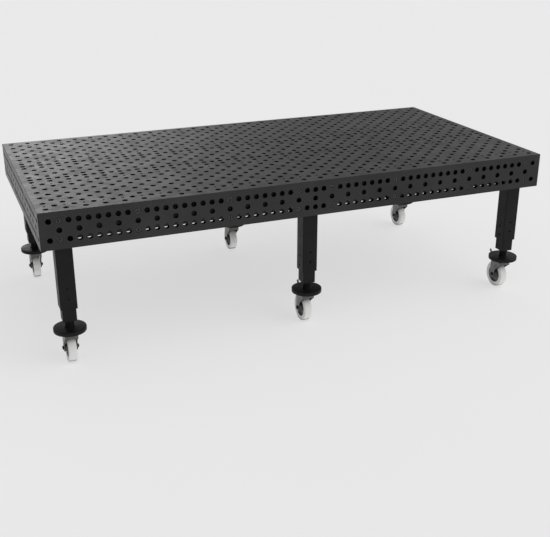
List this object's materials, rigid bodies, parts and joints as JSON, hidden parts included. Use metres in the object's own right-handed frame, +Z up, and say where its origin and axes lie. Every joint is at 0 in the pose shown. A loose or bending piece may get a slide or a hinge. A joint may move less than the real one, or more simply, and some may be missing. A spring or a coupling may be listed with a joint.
{
  "type": "welding table",
  "caption": "Long steel welding table: perforated top and deep perforated sides over ribs, on telescopic legs with screw feet and braked swivel casters.",
  "frame": {"origin": "on the floor under the middle of the table top; the rear casters' brake pedals reach 29 mm past the rear edge, so the middle of the bounding box is 14.5 mm behind the origin", "axes": "+X along the length to the right, +Y to the back, +Z up; every caster trails towards +Y at rest"},
  "size_m": [3, 1.5288, 0.9],
  "materials": {
    "nitrided_steel": "dark nitrided steel, smooth, soft sheen",
    "rib_steel": "dark mill-scale plate, matt",
    "black_paint": "black powder coat, fine texture",
    "black_oxide": "blackened fasteners",
    "zinc_plate": "bright zinc-plated pressed steel",
    "white_polyamide": "natural white polyamide, moulded"
  },
  "bodies": {
    "table_frame": {"table_top": "nitrided_steel", "side_front": "nitrided_steel", "side_back": "nitrided_steel", "side_left": "nitrided_steel", "side_right": "nitrided_steel", "long_ribs": "rib_steel", "cross_ribs": "rib_steel", "top_screws": "black_oxide", "side_screws": "black_oxide", "leg_pads": "rib_steel", "leg_bolts": "black_oxide", "clamp_screws": "black_oxide", "leg_tube_front_left": "black_paint", "leg_tube_front_middle": "black_paint", "leg_tube_front_right": "black_paint", "leg_tube_back_left": "black_paint", "leg_tube_back_middle": "black_paint", "leg_tube_back_right": "black_paint"},
    "leg_inner_front_left": {"inner_tube_front_left": "black_paint"},
    "foot_front_left": {"foot_spindle_front_left": "black_paint", "caster_plate_front_left": "zinc_plate"},
    "swivel_front_left": {"fork_front_left": "zinc_plate", "axle_front_left": "black_oxide"},
    "roller_front_left": {"wheel_front_left": "white_polyamide"},
    "pedal_front_left": {"brake_pedal_front_left": "zinc_plate"},
    "leg_inner_front_middle": {"inner_tube_front_middle": "black_paint"},
    "foot_front_middle": {"foot_spindle_front_middle": "black_paint", "caster_plate_front_middle": "zinc_plate"},
    "swivel_front_middle": {"fork_front_middle": "zinc_plate", "axle_front_middle": "black_oxide"},
    "roller_front_middle": {"wheel_front_middle": "white_polyamide"},
    "pedal_front_middle": {"brake_pedal_front_middle": "zinc_plate"},
    "leg_inner_front_right": {"inner_tube_front_right": "black_paint"},
    "foot_front_right": {"foot_spindle_front_right": "black_paint", "caster_plate_front_right": "zinc_plate"},
    "swivel_front_right": {"fork_front_right": "zinc_plate", "axle_front_right": "black_oxide"},
    "roller_front_right": {"wheel_front_right": "white_polyamide"},
    "pedal_front_right": {"brake_pedal_front_right": "zinc_plate"},
    "leg_inner_back_left": {"inner_tube_back_left": "black_paint"},
    "foot_back_left": {"foot_spindle_back_left": "black_paint", "caster_plate_back_left": "zinc_plate"},
    "swivel_back_left": {"fork_back_left": "zinc_plate", "axle_back_left": "black_oxide"},
    "roller_back_left": {"wheel_back_left": "white_polyamide"},
    "pedal_back_left": {"brake_pedal_back_left": "zinc_plate"},
    "leg_inner_back_middle": {"inner_tube_back_middle": "black_paint"},
    "foot_back_middle": {"foot_spindle_back_middle": "black_paint", "caster_plate_back_middle": "zinc_plate"},
    "swivel_back_middle": {"fork_back_middle": "zinc_plate", "axle_back_middle": "black_oxide"},
    "roller_back_middle": {"wheel_back_middle": "white_polyamide"},
    "pedal_back_middle": {"brake_pedal_back_middle": "zinc_plate"},
    "leg_inner_back_right": {"inner_tube_back_right": "black_paint"},
    "foot_back_right": {"foot_spindle_back_right": "black_paint", "caster_plate_back_right": "zinc_plate"},
    "swivel_back_right": {"fork_back_right": "zinc_plate", "axle_back_right": "black_oxide"},
    "roller_back_right": {"wheel_back_right": "white_polyamide"},
    "pedal_back_right": {"brake_pedal_back_right": "zinc_plate"}
  },
  "joints": [
    {"name": "leg_extension_front_left", "type": "slide", "parent": "table_frame", "child": "leg_inner_front_left", "axis": [0, 0, -1], "range_m": [-0.055, 0.1]},
    {"name": "foot_adjust_front_left", "type": "slide", "parent": "leg_inner_front_left", "child": "foot_front_left", "axis": [0, 0, -1], "range_m": [-0.035, 0.06]},
    {"name": "caster_swivel_front_left", "type": "hinge", "parent": "foot_front_left", "child": "swivel_front_left", "pos_m": [-1.38, -0.645, 0.18], "axis": [0, 0, 1], "continuous": true},
    {"name": "wheel_spin_front_left", "type": "hinge", "parent": "swivel_front_left", "child": "roller_front_left", "pos_m": [-1.38, -0.6, 0.08], "axis": [1, 0, 0], "continuous": true},
    {"name": "brake_pedal_press_front_left", "type": "hinge", "parent": "swivel_front_left", "child": "pedal_front_left", "pos_m": [-1.38, -0.587, 0.17], "axis": [-1, 0, 0], "range_deg": [0, 18]},
    {"name": "leg_extension_front_middle", "type": "slide", "parent": "table_frame", "child": "leg_inner_front_middle", "axis": [0, 0, -1], "range_m": [-0.055, 0.1]},
    {"name": "foot_adjust_front_middle", "type": "slide", "parent": "leg_inner_front_middle", "child": "foot_front_middle", "axis": [0, 0, -1], "range_m": [-0.035, 0.06]},
    {"name": "caster_swivel_front_middle", "type": "hinge", "parent": "foot_front_middle", "child": "swivel_front_middle", "pos_m": [0, -0.645, 0.18], "axis": [0, 0, 1], "continuous": true},
    {"name": "wheel_spin_front_middle", "type": "hinge", "parent": "swivel_front_middle", "child": "roller_front_middle", "pos_m": [0, -0.6, 0.08], "axis": [1, 0, 0], "continuous": true},
    {"name": "brake_pedal_press_front_middle", "type": "hinge", "parent": "swivel_front_middle", "child": "pedal_front_middle", "pos_m": [0, -0.587, 0.17], "axis": [-1, 0, 0], "range_deg": [0, 18]},
    {"name": "leg_extension_front_right", "type": "slide", "parent": "table_frame", "child": "leg_inner_front_right", "axis": [0, 0, -1], "range_m": [-0.055, 0.1]},
    {"name": "foot_adjust_front_right", "type": "slide", "parent": "leg_inner_front_right", "child": "foot_front_right", "axis": [0, 0, -1], "range_m": [-0.035, 0.06]},
    {"name": "caster_swivel_front_right", "type": "hinge", "parent": "foot_front_right", "child": "swivel_front_right", "pos_m": [1.38, -0.645, 0.18], "axis": [0, 0, 1], "continuous": true},
    {"name": "wheel_spin_front_right", "type": "hinge", "parent": "swivel_front_right", "child": "roller_front_right", "pos_m": [1.38, -0.6, 0.08], "axis": [1, 0, 0], "continuous": true},
    {"name": "brake_pedal_press_front_right", "type": "hinge", "parent": "swivel_front_right", "child": "pedal_front_right", "pos_m": [1.38, -0.587, 0.17], "axis": [-1, 0, 0], "range_deg": [0, 18]},
    {"name": "leg_extension_back_left", "type": "slide", "parent": "table_frame", "child": "leg_inner_back_left", "axis": [0, 0, -1], "range_m": [-0.055, 0.1]},
    {"name": "foot_adjust_back_left", "type": "slide", "parent": "leg_inner_back_left", "child": "foot_back_left", "axis": [0, 0, -1], "range_m": [-0.035, 0.06]},
    {"name": "caster_swivel_back_left", "type": "hinge", "parent": "foot_back_left", "child": "swivel_back_left", "pos_m": [-1.38, 0.645, 0.18], "axis": [0, 0, 1], "continuous": true},
    {"name": "wheel_spin_back_left", "type": "hinge", "parent": "swivel_back_left", "child": "roller_back_left", "pos_m": [-1.38, 0.69, 0.08], "axis": [1, 0, 0], "continuous": true},
    {"name": "brake_pedal_press_back_left", "type": "hinge", "parent": "swivel_back_left", "child": "pedal_back_left", "pos_m": [-1.38, 0.703, 0.17], "axis": [-1, 0, 0], "range_deg": [0, 18]},
    {"name": "leg_extension_back_middle", "type": "slide", "parent": "table_frame", "child": "leg_inner_back_middle", "axis": [0, 0, -1], "range_m": [-0.055, 0.1]},
    {"name": "foot_adjust_back_middle", "type": "slide", "parent": "leg_inner_back_middle", "child": "foot_back_middle", "axis": [0, 0, -1], "range_m": [-0.035, 0.06]},
    {"name": "caster_swivel_back_middle", "type": "hinge", "parent": "foot_back_middle", "child": "swivel_back_middle", "pos_m": [0, 0.645, 0.18], "axis": [0, 0, 1], "continuous": true},
    {"name": "wheel_spin_back_middle", "type": "hinge", "parent": "swivel_back_middle", "child": "roller_back_middle", "pos_m": [0, 0.69, 0.08], "axis": [1, 0, 0], "continuous": true},
    {"name": "brake_pedal_press_back_middle", "type": "hinge", "parent": "swivel_back_middle", "child": "pedal_back_middle", "pos_m": [0, 0.703, 0.17], "axis": [-1, 0, 0], "range_deg": [0, 18]},
    {"name": "leg_extension_back_right", "type": "slide", "parent": "table_frame", "child": "leg_inner_back_right", "axis": [0, 0, -1], "range_m": [-0.055, 0.1]},
    {"name": "foot_adjust_back_right", "type": "slide", "parent": "leg_inner_back_right", "child": "foot_back_right", "axis": [0, 0, -1], "range_m": [-0.035, 0.06]},
    {"name": "caster_swivel_back_right", "type": "hinge", "parent": "foot_back_right", "child": "swivel_back_right", "pos_m": [1.38, 0.645, 0.18], "axis": [0, 0, 1], "continuous": true},
    {"name": "wheel_spin_back_right", "type": "hinge", "parent": "swivel_back_right", "child": "roller_back_right", "pos_m": [1.38, 0.69, 0.08], "axis": [1, 0, 0], "continuous": true},
    {"name": "brake_pedal_press_back_right", "type": "hinge", "parent": "swivel_back_right", "child": "pedal_back_right", "pos_m": [1.38, 0.703, 0.17], "axis": [-1, 0, 0], "range_deg": [0, 18]}
  ]
}
